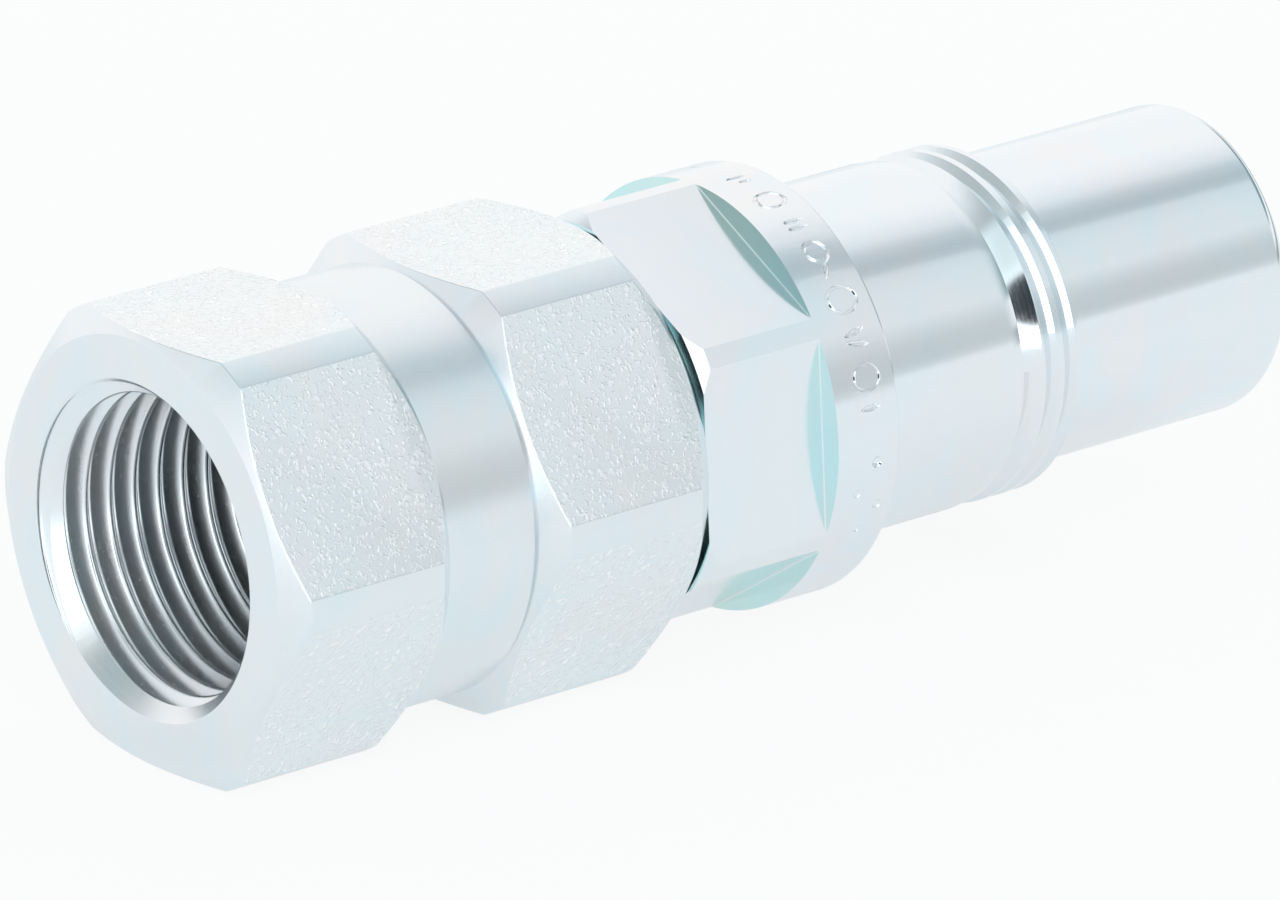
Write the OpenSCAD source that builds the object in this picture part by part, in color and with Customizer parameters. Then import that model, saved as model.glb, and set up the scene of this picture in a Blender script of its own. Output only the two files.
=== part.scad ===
// Screw-to-connect quick coupling, nipple half, for liquid cooling lines.
// Two turned bodies screwed into each other, with a spring-loaded flush valve inside.
// Millimetres. +X runs from the threaded port to the nose. The part lies on a hexagon flat:
// the origin is on the surface under the middle of the part, and +Z is up.

/* [Port body] */
// Width across the flats of the hexagon bar
hex_af = 27; // [26.8:0.1:29]
// Diameter to which the hexagon corners are turned off
corner_d = 30; // [29.2:0.1:31]
// Diameter of the flat face at the port
face_d = 26.3; // [25:0.1:26.6]
// Length of the hexagon at the port, as far as the neck
port_hex_l = 12.7; // [9:0.1:18]
// Diameter of the round neck between the hexagons
neck_d = 26.5; // [25.6:0.1:26.6]
// Length of the round neck
neck_l = 6.75; // [4:0.05:10]
// Length of the hexagon at the joint
joint_hex_l = 13.45; // [11:0.05:20]
// Angle of the chamfers that face the port, from the face
front_chamfer_a = 30; // [20:1:40]
// Angle of the chamfers that face the nose, from the face
rear_chamfer_a = 45; // [35:1:50]
// Diameter of the flat face at the joint
joint_face_d = 25.1; // [24:0.1:26.2]
// Width of the bottom of the turned relief at the end of the neck
relief_w = 0.15; // [0.1:0.05:0.4]
// Depth of that relief
relief_depth = 0.4; // [0.2:0.05:0.8]

/* [Port thread] */
// Core diameter of the pipe thread in the port
port_core_d = 18.631; // [16:0.001:19.5]
// Outer diameter of that thread, and of the countersink at its mouth
port_mouth_d = 20.955; // [20:0.001:22.5]
// Depth of the port
port_depth = 15; // [12:0.5:16]
// Diameter of the passage behind the port
passage_d = 15; // [10:0.5:16]
// Thickness of the web between the port and the joint
web_t = 3.3; // [2:0.1:4]

/* [Joint] */
// Pitch diameter of the joint thread
joint_thread_d = 21.02; // [20.6:0.02:21.6]
// Length of the smooth land between the seal groove and the joint thread
joint_land = 0.9; // [0.7:0.1:1.5]
// Diameter of the spigot in front of the thread
spigot_d = 19.8; // [19.2:0.1:20]
// Section of the joint's O-ring
o_ring_w = 1.5; // [1.2:0.1:1.8]
// Width of the backup ring beside it
backup_w = 1.1; // [0.8:0.1:1.4]
// Room left for the O-ring to spread in its groove
o_ring_room = 0.3; // [0.2:0.1:0.5]
// Distance from the bottom of the joint bore to the groove
groove_inset = 0.8; // [0.6:0.1:1.2]
// Width of the chamfers that lead the joint together
lead_in = 0.5; // [0.3:0.1:0.7]
// Gap between the spigot's end and the web
spigot_end_gap = 0.3; // [0.1:0.1:0.6]
// Diameter of the thread undercut under the nipple's hexagon
undercut_d = 19.9; // [19.5:0.1:20.2]
// Length of that undercut
undercut_l = 1.4; // [1:0.1:2]

/* [Nipple] */
// Width across the flats of the nipple's hexagon
nipple_af = 24; // [23:0.1:25]
// Length of the nipple's hexagon
nipple_hex_l = 9.3; // [7:0.1:14]
// Turn of the nipple's hexagon against the port body's
nipple_turn = 26.5; // [0:0.5:60]
// Length of the collar
collar_l = 5; // [3:0.1:8]
// Diameter of the seat face that the nipple's hexagon stands on
seat_face_d = 23.6; // [22.6:0.1:23.8]
// Height of that seat face
seat_face_t = 0.3; // [0.1:0.05:0.6]
// Width of the chamfer on the corners of the nipple's hexagon
corner_break = 0.6; // [0.3:0.1:1]
// Width of the collar's edge break
edge_break = 0.3; // [0.1:0.1:0.6]
// Diameter of the barrel and of the coupling thread
barrel_d = 22; // [21.4:0.1:24]
// Length of the barrel, from the collar to the coupling thread
barrel_l = 11.75; // [8:0.05:16]
// Pitch of the coupling thread
thread_pitch = 1.5; // [1.25:0.25:1.75]
// Number of grooves of the coupling thread
thread_grooves = 3; // [2:1:5]
// Width of the flat on its crests
crest_w = 0.12; // [0.05:0.01:0.3]
// Radial depth of the coupling thread
thread_depth = 0.92; // [0.7:0.01:1]
// Diameter of the nose
nose_d = 19.6; // [19.2:0.1:19.7]
// Length of the slope from the last crest down to the nose
nose_slope_l = 0.55; // [0.3:0.05:1.5]
// Length of the nose in front of the coupling thread
nose_l = 17.75; // [15:0.05:24]
// Radius of the edge of the nose
nose_edge_r = 1; // [0.4:0.1:1.4]

/* [Nipple bore] */
// Diameter of the bore behind the valve guide
rear_bore_d = 17.2; // [16.8:0.1:17.4]
// Diameter of the valve chamber
chamber_d = 16; // [15:0.1:16.2]
// Diameter of the bore that the valve head closes
seat_d = 12.4; // [11.8:0.1:13]
// Length of that bore
seat_l = 6; // [5:0.1:8]

/* [Valve] */
// Travel of the valve
valve_travel = 8; // [6:0.5:9]
// Diameter of the valve stem
stem_d = 4.6; // [4.2:0.1:5]
// Diameter of the thread at the tail of the stem
tail_thread_d = 3.8; // [3:0.1:4]
// Diameter of the neck that carries the valve seal
seal_neck_d = 8.6; // [8:0.1:9]
// Width of the valve seal
valve_seal_w = 1.6; // [1.2:0.1:2]
// Width of its backup ring
valve_backup_w = 1; // [0.8:0.1:1.2]
// Thickness of the cap that forms the flush face
cap_t = 1.6; // [1.4:0.1:2]
// Diameter of the cap's threaded shank
shank_d = 4; // [3:0.1:4.6]
// Length of the cap's threaded shank
shank_l = 5.4; // [4:0.1:6]
// Length of the valve head behind its seal
head_l = 4.8; // [4.4:0.1:5.6]
// Thickness of the flange on the valve head that the spring presses on
head_back_t = 1.2; // [0.8:0.1:1.5]

/* [Guide] */
// Thickness of the guide's rim and arms
guide_t = 3; // [2:0.1:4]
// Width of the guide's rim
guide_rim_w = 1; // [0.8:0.1:1.6]
// Diameter of the guide's hub
hub_d = 8.2; // [8:0.1:9]
// Diameter of the hub's spring pilot
pilot_d = 7.1; // [6.8:0.1:7.4]
// Length of the spring pilot
pilot_l = 3; // [2:0.1:4]
// Length of the hub behind the arms
hub_tail_l = 1.8; // [1.5:0.1:2.5]
// Number of guide arms
guide_arms = 4; // [3:1:5]
// Width of a guide arm
arm_w = 2; // [1.5:0.1:2.6]
// Wall of the bush in the hub
bush_wall = 0.5; // [0.4:0.05:0.6]
// Thickness of the bush's flange
bush_flange_t = 0.5; // [0.4:0.1:0.8]
// Thickness of the retaining ring
ring_t = 1; // [0.8:0.1:1.2]
// Depth of the retaining ring's groove
ring_groove_depth = 0.55; // [0.4:0.05:0.7]
// Radial width of the retaining ring, halfway between its ends
ring_w = 1.55; // [1.3:0.05:1.8]
// How much wider it is opposite its gap
ring_taper = 0.35; // [0:0.05:0.5]
// Half of the angle of the gap between its lugs
ring_gap_a = 24; // [18:1:30]
// Diameter of a lug
lug_d = 2.5; // [2.2:0.1:3]
// Diameter of the plier hole in a lug
lug_hole_d = 1.2; // [0.8:0.1:1.4]

/* [Spring] */
// Wire diameter of the valve spring
wire_d = 1.2; // [1:0.05:1.3]
// Mean diameter of the valve spring
coil_d = 8.7; // [8.7:0.1:9.4]
// Number of turns of the valve spring
coil_turns = 7.5; // [6:0.5:8.5]
// Length that the spring keeps in reserve when the valve is fully open
spring_reserve = 6; // [3:0.5:8]
// Thickness of the spring seat
spring_seat_t = 0.6; // [0.4:0.1:1]

/* [Stop] */
// Thickness of the stop washer on the stem
washer_t = 0.8; // [0.6:0.1:1.2]
// Diameter of the stop washer
washer_d = 7.6; // [7:0.1:8]
// Width across the flats of the lock nut
nut_af = 7; // [6.5:0.1:7.5]
// Height of the lock nut
nut_h = 4.6; // [3.8:0.1:5]
// Width of the nylon insert in the lock nut
insert_w = 1.1; // [0.9:0.1:1.4]
// How far the stem stands out of the lock nut
stem_end_l = 0.6; // [0.4:0.1:1.5]

/* [Fits] */
// Running clearance on a radius, between parts that slide
run_clear = 0.05; // [0.02:0.01:0.08]
// Assembly clearance on a radius, between parts that stay put
fit_clear = 0.03; // [0.01:0.01:0.05]
// Clearance between faces that rest on each other
rest_clear = 0.02; // [0.01:0.01:0.05]

/* [Hidden] */
$fn = 96;

// Cutters reach this far past what they cut
cut = 1;
// Places along the axis, from the port face
neck_x = port_hex_l;
joint_hex_x = neck_x + neck_l;
joint_x = joint_hex_x + joint_hex_l;
web_x = port_depth;
spigot_bore_x = web_x + web_t;
spigot_x = spigot_bore_x + spigot_end_gap;
shoulder_x = joint_x + nipple_hex_l;
collar_end_x = shoulder_x + collar_l;
thread_x = collar_end_x + barrel_l;
thread_end_x = thread_x + thread_grooves * thread_pitch;
nose_x = thread_end_x + nose_slope_l;
end_x = nose_x + nose_l;

// Radii. The collar is as wide as the flats, so the part rests on both
hex_r = hex_af / 2;
axis_h = hex_r;
corner_r = corner_d / 2;
neck_r = neck_d / 2;
face_r = face_d / 2;
joint_face_r = joint_face_d / 2;
core_r = port_core_d / 2;
mouth_r = port_mouth_d / 2;
passage_r = passage_d / 2;
spigot_r = spigot_d / 2;
joint_thread_r = joint_thread_d / 2;
collar_r = hex_r;
barrel_r = barrel_d / 2;
nose_r = nose_d / 2;
rear_bore_r = rear_bore_d / 2;
chamber_r = chamber_d / 2;
seat_r = seat_d / 2;
stem_r = stem_d / 2;

// Rise along the axis of a chamfer that spans the radial distance d
function front_rise(d) = d * tan(front_chamfer_a);
function rear_rise(d) = d * tan(rear_chamfer_a);

// The seal groove of the joint, in the port body
groove_top_r = spigot_r + o_ring_w + 2 * fit_clear;
groove_x = spigot_bore_x + groove_inset;
groove_w = o_ring_room + o_ring_w + backup_w + 3 * rest_clear;
backup_x = groove_x + groove_w - backup_w - rest_clear;
o_ring_x = backup_x - rest_clear - o_ring_w / 2;
joint_bore_r = spigot_r + run_clear;
joint_thread_x = groove_x + groove_w + joint_land;

// The valve, closed: its face is flush with the end of the nose
head_r = seat_r - run_clear;
cap_x = end_x - cap_t;
seal_x = cap_x - valve_seal_w;
valve_backup_x = seal_x - valve_backup_w;
head_x = valve_backup_x - head_l;
land_x = end_x - seat_l;
seal_neck_r = seal_neck_d / 2;
// The guide stands where the spring still has its reserve when the valve is fully open
spring_solid_l = (coil_turns + 1) * wire_d;
guide_x = head_x - spring_solid_l - valve_travel - spring_reserve - spring_seat_t;
spring_flange_r = (coil_d + wire_d) / 2 + 0.2;
bush_bore_r = stem_r + run_clear;
bush_r = bush_bore_r + bush_wall;
hub_x = guide_x - guide_t - hub_tail_l;
stop_x = hub_x - bush_flange_t;
washer_x = stop_x - rest_clear - washer_t;
nut_x = washer_x - nut_h;
tail_x = nut_x - stem_end_l;
ring_x = guide_x - guide_t - rest_clear - ring_t;
spring_start_x = guide_x + spring_seat_t + 2 * rest_clear;
spring_end_x = head_x - rest_clear;

// Puts what is turned round Z from the port face upwards onto the axis of the part
module on_axis() {
    translate([-end_x / 2, 0, axis_h]) rotate([0, 90, 0]) children();
}

// A solid of revolution; points are [radius, place along the axis]
module turned(points) {
    rotate_extrude() polygon(points);
}

// A hexagon bar between two places along the axis, with two flats level
module hex_bar(across_flats, from_x, to_x) {
    translate([0, 0, from_x]) rotate(30)
        cylinder(h = to_x - from_x, d = across_flats / cos(30), $fn = 6);
}

// A ring of rectangular section
module flat_ring(inner_r, outer_r, from_x, width) {
    turned([[inner_r, from_x], [outer_r, from_x], [outer_r, from_x + width], [inner_r, from_x + width]]);
}

// ---- Port body: hexagon, neck, hexagon, with the port, the passage and the joint bore ----

// Outline of the hexagon bar as it is turned: chamfered at both ends of each hexagon
function port_outline() = [
    [0, 0],
    [face_r, 0],
    [corner_r, front_rise(corner_r - face_r)],
    [corner_r, neck_x - rear_rise(corner_r - neck_r)],
    [neck_r, neck_x],
    [neck_r, joint_hex_x - front_rise(relief_depth) - relief_w],
    [neck_r - relief_depth, joint_hex_x - front_rise(relief_depth) - relief_w],
    [neck_r - relief_depth, joint_hex_x - front_rise(relief_depth)],
    [neck_r, joint_hex_x],
    [corner_r, joint_hex_x + front_rise(corner_r - neck_r)],
    [corner_r, joint_x - rear_rise(corner_r - joint_face_r)],
    [joint_face_r, joint_x],
    [0, joint_x]
];

// Port, passage and joint bore, as one cutter
function port_bore() = [
    [0, -cut],
    [mouth_r + cut, -cut],
    [core_r, mouth_r - core_r],
    [core_r, web_x],
    [passage_r, web_x],
    [passage_r, spigot_bore_x],
    [joint_bore_r, spigot_bore_x],
    [joint_bore_r, groove_x],
    [groove_top_r, groove_x],
    [groove_top_r, groove_x + groove_w],
    [joint_bore_r, groove_x + groove_w],
    [joint_bore_r, joint_thread_x - lead_in],
    [joint_thread_r + fit_clear, joint_thread_x],
    [joint_thread_r + fit_clear, joint_x - lead_in],
    [joint_thread_r + fit_clear + lead_in + cut, joint_x + cut],
    [0, joint_x + cut]
];

module port_body() {
    color([0.84, 0.87, 0.89]) on_axis() difference() {
        intersection() {
            turned(port_outline());
            hex_bar(hex_af, -cut, joint_x + cut);
        }
        turned(port_bore());
    }
}

// ---- Joint seals ----

module joint_o_ring() {
    color([0.07, 0.07, 0.08]) on_axis()
        rotate_extrude() translate([(spigot_r + groove_top_r) / 2, o_ring_x]) circle(d = o_ring_w);
}

module joint_backup_ring() {
    color([0.93, 0.93, 0.9]) on_axis()
        flat_ring(spigot_r + fit_clear, groove_top_r - fit_clear, backup_x, backup_w);
}

// ---- Nipple: spigot, joint thread, hexagon, collar, barrel, coupling thread and nose ----

// One groove of the coupling thread and the crest after it, as points of the outline
flank_l = thread_depth * tan(30);
function groove(x) = [
    [barrel_r, x],
    [barrel_r - thread_depth, x + flank_l],
    [barrel_r - thread_depth, x + thread_pitch - crest_w - flank_l],
    [barrel_r, x + thread_pitch - crest_w]
];

function nipple_outline() = concat(
    [
        [0, spigot_x],
        [spigot_r - lead_in, spigot_x],
        [spigot_r, spigot_x + 2 * lead_in],
        [spigot_r, joint_thread_x],
        [joint_thread_r - fit_clear, joint_thread_x + lead_in],
        [joint_thread_r - fit_clear, joint_x - undercut_l - lead_in],
        [undercut_d / 2, joint_x - undercut_l],
        [undercut_d / 2, joint_x],
        [seat_face_d / 2, joint_x],
        [seat_face_d / 2, joint_x + seat_face_t],
        [collar_r - corner_break, joint_x + seat_face_t],
        [collar_r, joint_x + seat_face_t + corner_break],
        [collar_r, collar_end_x - edge_break],
        [collar_r - edge_break, collar_end_x],
        [barrel_r, collar_end_x]
    ],
    [for (i = [0 : thread_grooves - 1]) each groove(thread_x + i * thread_pitch)],
    [
        [barrel_r, thread_end_x],
        [nose_r, nose_x],
        [nose_r, end_x - nose_edge_r]
    ],
    [for (a = [15 : 15 : 75]) [
        nose_r - nose_edge_r * (1 - cos(a)),
        end_x - nose_edge_r * (1 - sin(a))
    ]],
    [
        [nose_r - nose_edge_r, end_x],
        [0, end_x]
    ]
);

function nipple_bore() = [
    [0, spigot_x - cut],
    [rear_bore_r, spigot_x - cut],
    [rear_bore_r, ring_x - rest_clear],
    [rear_bore_r + ring_groove_depth, ring_x - rest_clear],
    [rear_bore_r + ring_groove_depth, ring_x + ring_t + rest_clear],
    [rear_bore_r, ring_x + ring_t + rest_clear],
    [rear_bore_r, guide_x],
    [chamber_r, guide_x],
    [chamber_r, land_x - (chamber_r - seat_r)],
    [seat_r, land_x],
    [seat_r, end_x + cut],
    [0, end_x + cut]
];

// The six flats, milled from the joint face up to a square shoulder
module nipple_flats() {
    for (i = [0 : 5])
        rotate(nipple_turn + 60 * i)
            translate([nipple_af / 2, -collar_r, joint_x - cut])
                cube([collar_r, 2 * collar_r, nipple_hex_l + cut]);
}

module nipple() {
    color([0.8, 0.85, 0.9]) on_axis() difference() {
        turned(nipple_outline());
        nipple_flats();
        turned(nipple_bore());
    }
}

// ---- Valve guide: a rim with arms that carries the stem in a bush ----

module guide_window() {
    difference() {
        circle(rear_bore_r - fit_clear - guide_rim_w);
        circle(hub_d / 2);
        for (i = [0 : guide_arms - 1])
            rotate(360 / guide_arms * i) translate([0, -arm_w / 2]) square([rear_bore_r, arm_w]);
    }
}

module valve_guide() {
    color([0.72, 0.73, 0.74]) on_axis() difference() {
        union() {
            translate([0, 0, guide_x - guide_t]) linear_extrude(guide_t - rest_clear) difference() {
                circle(rear_bore_r - fit_clear);
                guide_window();
            }
            translate([0, 0, hub_x]) cylinder(h = guide_t + hub_tail_l - rest_clear, d = hub_d);
            translate([0, 0, guide_x - cut]) cylinder(h = pilot_l + cut, d = pilot_d);
        }
        translate([0, 0, hub_x - cut])
            cylinder(h = guide_t + hub_tail_l + pilot_l + 2 * cut, r = bush_r);
    }
}

module guide_bush() {
    color([0.55, 0.5, 0.38]) on_axis() turned([
        [bush_bore_r, stop_x],
        [hub_d / 2 - edge_break, stop_x],
        [hub_d / 2 - edge_break, hub_x - rest_clear],
        [bush_r - fit_clear, hub_x - rest_clear],
        [bush_r - fit_clear, guide_x + pilot_l],
        [bush_bore_r, guide_x + pilot_l]
    ]);
}

// Internal retaining ring: widest opposite its gap, with a lug and a plier hole at each end
module guide_retaining_ring() {
    outer_r = rear_bore_r + ring_groove_depth - fit_clear;
    gap_x = 2 * outer_r * cos(ring_gap_a);
    gap_y = 2 * outer_r * sin(ring_gap_a);
    lug_x = rear_bore_r - fit_clear - lug_d / 2;
    lug_a = ring_gap_a + asin(lug_d / 2 / lug_x) / 2;
    color([0.25, 0.26, 0.28]) on_axis() translate([0, 0, ring_x]) linear_extrude(ring_t) difference() {
        union() {
            difference() {
                circle(outer_r);
                translate([ring_taper, 0]) circle(outer_r - ring_w);
                polygon([[0, 0], [gap_x, -gap_y], [gap_x, gap_y]]);
            }
            for (side = [-1, 1]) rotate(side * lug_a) translate([lug_x, 0]) circle(d = lug_d);
        }
        for (side = [-1, 1]) rotate(side * lug_a) translate([lug_x, 0]) circle(d = lug_hole_d);
    }
}

// ---- Spring and its seat ----

module spring_seat() {
    color([0.72, 0.73, 0.74]) on_axis()
        flat_ring(pilot_d / 2 + run_clear, (coil_d + wire_d) / 2 + 0.3, guide_x, spring_seat_t);
}

// Closed ends, open turns between them: how far the wire has risen after the share t of its turns
dead_turns = 1;
spring_rise = spring_end_x - spring_start_x - wire_d;
closed_rise = wire_d * 1.06;
function wire_rise(turn) =
    turn < dead_turns ? turn * closed_rise
    : turn > coil_turns - dead_turns ? spring_rise - (coil_turns - turn) * closed_rise
    : dead_turns * closed_rise
        + (turn - dead_turns) / (coil_turns - 2 * dead_turns) * (spring_rise - 2 * dead_turns * closed_rise);
wire_sides = 8;
turn_steps = 24;
wire_rings = floor(coil_turns * turn_steps);
function wire_point(ring, side) =
    let (turn = ring / turn_steps, a = 360 * turn, s = 360 * side / wire_sides,
        r = coil_d / 2 + wire_d / 2 * cos(s))
    [r * cos(a), r * sin(a), spring_start_x + wire_d / 2 + wire_rise(turn) + wire_d / 2 * sin(s)];

module valve_spring() {
    points = [for (ring = [0 : wire_rings]) for (side = [0 : wire_sides - 1]) wire_point(ring, side)];
    skin = [for (ring = [0 : wire_rings - 1]) for (side = [0 : wire_sides - 1])
        let (a = ring * wire_sides + side, b = ring * wire_sides + (side + 1) % wire_sides)
        [a, a + wire_sides, b + wire_sides, b]];
    start = [for (side = [0 : wire_sides - 1]) side];
    end = [for (side = [wire_sides - 1 : -1 : 0]) wire_rings * wire_sides + side];
    color([0.6, 0.62, 0.65]) on_axis() polyhedron(points, concat([start], skin, [end]), convexity = 10);
}

// ---- Valve: stem and head, cap, seal, backup ring, stop washer and lock nut ----

module valve_stem() {
    shank_hole = [
        [0, cap_x - shank_l - lead_in],
        [shank_d / 2 + fit_clear, cap_x - shank_l - lead_in],
        [shank_d / 2 + fit_clear, cap_x + cut],
        [0, cap_x + cut]
    ];
    color([0.78, 0.8, 0.82]) on_axis() difference() {
        turned([
            [0, tail_x],
            [tail_thread_d / 2 - edge_break, tail_x],
            [tail_thread_d / 2, tail_x + edge_break],
            [tail_thread_d / 2, washer_x + washer_t],
            [stem_r, washer_x + washer_t],
            [stem_r, head_x],
            [spring_flange_r, head_x],
            [spring_flange_r, head_x + head_back_t],
            [head_r, land_x + edge_break],
            [head_r, valve_backup_x],
            [seal_neck_r, valve_backup_x],
            [seal_neck_r, cap_x],
            [0, cap_x]
        ]);
        turned(shank_hole);
    }
}

module valve_cap() {
    color([0.86, 0.88, 0.9]) on_axis() turned([
        [0, cap_x - shank_l],
        [shank_d / 2, cap_x - shank_l],
        [shank_d / 2, cap_x + rest_clear],
        [head_r, cap_x + rest_clear],
        [head_r, end_x - edge_break],
        [head_r - edge_break, end_x],
        [0, end_x]
    ]);
}

module valve_seal() {
    inner_r = seal_neck_r + fit_clear;
    lip = edge_break;
    color([0.07, 0.07, 0.08]) on_axis() turned([
        [inner_r, seal_x + rest_clear],
        [head_r - lip, seal_x + rest_clear],
        [head_r, seal_x + rest_clear + lip],
        [head_r, cap_x - rest_clear - lip],
        [head_r - lip, cap_x - rest_clear],
        [inner_r, cap_x - rest_clear]
    ]);
}

module valve_backup_ring() {
    color([0.93, 0.93, 0.9]) on_axis()
        flat_ring(seal_neck_r + fit_clear, head_r - fit_clear, valve_backup_x + rest_clear,
            valve_backup_w - rest_clear);
}

module stop_washer() {
    color([0.75, 0.77, 0.79]) on_axis()
        flat_ring(tail_thread_d / 2 + fit_clear, washer_d / 2, washer_x, washer_t - rest_clear);
}

// Hexagon nut with a round crown at its back for the insert
module lock_nut() {
    crown_r = nut_af / 2 - edge_break;
    crown_x = nut_x + insert_w;
    color([0.7, 0.72, 0.75]) on_axis() difference() {
        intersection() {
            hex_bar(nut_af, nut_x, washer_x - rest_clear);
            turned([
                [0, nut_x],
                [crown_r, nut_x],
                [crown_r, crown_x],
                [nut_af, crown_x + front_rise(nut_af - crown_r)],
                [nut_af, washer_x],
                [0, washer_x]
            ]);
        }
        translate([0, 0, nut_x - cut]) cylinder(h = nut_h + 2 * cut, r = tail_thread_d / 2 + fit_clear);
        translate([0, 0, nut_x - cut]) cylinder(h = insert_w + cut + rest_clear, r = crown_r - nut_wall);
    }
}
nut_wall = 0.45;

module nut_insert() {
    color([0.2, 0.35, 0.7]) on_axis()
        flat_ring(tail_thread_d / 2 + fit_clear, nut_af / 2 - edge_break - nut_wall - fit_clear,
            nut_x, insert_w);
}

port_body();
nipple();
joint_o_ring();
joint_backup_ring();
valve_guide();
guide_bush();
guide_retaining_ring();
spring_seat();
valve_spring();
valve_stem();
valve_cap();
valve_seal();
valve_backup_ring();
stop_washer();
lock_nut();
nut_insert();
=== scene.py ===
"""A screw-to-connect quick coupling, nipple half: two turned and milled bodies with a sprung flush valve."""

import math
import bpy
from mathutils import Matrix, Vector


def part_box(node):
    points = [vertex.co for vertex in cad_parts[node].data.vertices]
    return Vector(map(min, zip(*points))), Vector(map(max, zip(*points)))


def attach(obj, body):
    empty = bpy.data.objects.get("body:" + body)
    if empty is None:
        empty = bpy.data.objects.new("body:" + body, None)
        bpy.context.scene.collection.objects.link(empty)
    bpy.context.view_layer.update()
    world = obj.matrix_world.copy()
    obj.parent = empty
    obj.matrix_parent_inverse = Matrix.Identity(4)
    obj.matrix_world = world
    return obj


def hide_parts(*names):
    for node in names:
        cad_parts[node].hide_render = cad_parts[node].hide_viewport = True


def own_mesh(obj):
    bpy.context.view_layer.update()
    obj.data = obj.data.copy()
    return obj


bl_info = {
    "name": "Liquid cooling quick coupling",
    "version": (1, 0, 0),
    "blender": (4, 5, 0),
    "location": "View3D > Sidebar > Coupling",
    "description": "Models the outside and the spring of a quick coupling, and finishes every part",
    "category": "Add Mesh",
}

import bpy
from bpy.props import FloatProperty, FloatVectorProperty, IntProperty, PointerProperty
from mathutils import Vector

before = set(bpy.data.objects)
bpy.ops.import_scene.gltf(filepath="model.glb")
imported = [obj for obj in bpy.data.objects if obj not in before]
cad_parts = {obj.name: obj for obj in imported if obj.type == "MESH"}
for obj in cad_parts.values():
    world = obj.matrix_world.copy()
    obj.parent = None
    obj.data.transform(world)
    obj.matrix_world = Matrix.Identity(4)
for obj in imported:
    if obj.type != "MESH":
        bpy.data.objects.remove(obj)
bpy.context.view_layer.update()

MM = 0.001
# Where the port face and the axis stand in the row frame
PORT_FACE_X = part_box("port_body")[0][0]
AXIS_Z = (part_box("port_body")[0][2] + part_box("port_body")[1][2]) / 2


def length(name, default, description):
    """A length property, in metres."""
    return FloatProperty(name=name, description=description, default=default, unit="LENGTH", precision=5,
                         min=0)


def tint(name, default, description):
    """A colour property."""
    return FloatVectorProperty(name=name, description=description, default=default, subtype="COLOR", size=3,
                               min=0, max=1)


class CouplingSizes(bpy.types.PropertyGroup):
    """Sizes of the visible bodies, as in the part's source."""

    hex_across: length("Hexagon", 0.027, "Width across the flats of the hexagon bar")
    corner_r: length("Corner radius", 0.015, "Radius to which the hexagon corners are turned off")
    face_r: length("Port face radius", 0.01315, "Radius of the flat face at the port")
    neck_x: length("Neck start", 0.0127, "End of the hexagon at the port")
    neck_r: length("Neck radius", 0.01325, "Radius of the round neck")
    joint_hex_x: length("Neck end", 0.01945, "Start of the hexagon at the joint")
    joint_x: length("Joint face", 0.0329, "End of the port body")
    joint_face_r: length("Joint face radius", 0.01255, "Radius of the flat face at the joint")
    mouth_r: length("Thread outer radius", 0.0104775, "Outer radius of the pipe thread in the port")
    core_r: length("Thread core radius", 0.0093155, "Core radius of the pipe thread in the port")
    pipe_pitch: length("Pipe thread pitch", 0.001814, "Pitch of the pipe thread")
    port_depth: length("Port depth", 0.015, "Depth of the port")
    nipple_across: length("Nipple hexagon", 0.024, "Width across the flats of the nipple's hexagon")
    nipple_turn: FloatProperty(name="Nipple turn",
                               description="Turn of the nipple's hexagon against the port body's",
                               default=math.radians(26.5), subtype="ANGLE")
    shoulder_x: length("Shoulder", 0.0422, "End of the nipple's hexagon")
    collar_end_x: length("Collar end", 0.0472, "End of the collar")
    collar_r: length("Collar radius", 0.0135, "Radius of the collar")
    barrel_r: length("Barrel radius", 0.011, "Radius of the barrel and the coupling thread")
    thread_x: length("Coupling thread start", 0.05895, "Where the coupling thread starts")
    thread_pitch: length("Coupling thread pitch", 0.0015, "Pitch of the coupling thread")
    nose_x: length("Nose start", 0.064, "Where the nose starts")
    nose_r: length("Nose radius", 0.0098, "Radius of the nose")
    nose_edge_r: length("Nose edge", 0.001, "Radius of the edge of the nose")
    end_x: length("Overall length", 0.08175, "Length of the coupling")
    edge_r: length("Edge break", 0.00006, "Width of the broken edges")
    rounds: IntProperty(name="Steps in a round", description="Steps in one turn of a turned surface",
                        default=192, min=48, max=384)


class CouplingColours(bpy.types.PropertyGroup):
    """Colours of the finishes."""

    plate: tint("Zinc plate", (0.87, 0.905, 0.92), "Bright zinc with a clear blue passivation")
    flats: tint("Drawn flats", (0.90, 0.93, 0.94), "Plated flats of the drawn hexagon bar")
    nipple: tint("Nipple plate", (0.88, 0.91, 0.93), "Plate on the finer turned nipple")
    # The shoulder tint is a painted reflection: its teal stands in for teal surroundings mirrored in the
    # milled shoulder faces, not for a thicker film.
    shoulder: tint("Milled shoulder", (0.68, 0.91, 0.90), "Thicker film on the faces that the cutter left")
    steel: tint("Stainless steel", (0.62, 0.63, 0.64), "Plain machined stainless steel")
    spring: tint("Spring steel", (0.42, 0.43, 0.45), "Drawn stainless spring wire")
    valve: tint("Valve steel", (0.75, 0.77, 0.79), "Fine turned stainless steel")
    bronze: tint("Bronze", (0.55, 0.40, 0.22), "Sintered bronze")
    rubber: tint("Rubber", (0.012, 0.012, 0.014), "Black nitrile rubber")
    ptfe: tint("Backup plastic", (0.80, 0.80, 0.77), "White PTFE")
    nylon: tint("Nylon", (0.03, 0.10, 0.36), "Blue nylon")


# ---- Modelling helpers ----

def select_only(piece):
    """Deselects everything and makes one piece active."""
    bpy.ops.object.select_all(action="DESELECT")
    piece.select_set(True)
    bpy.context.view_layer.objects.active = piece
    return piece


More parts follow.
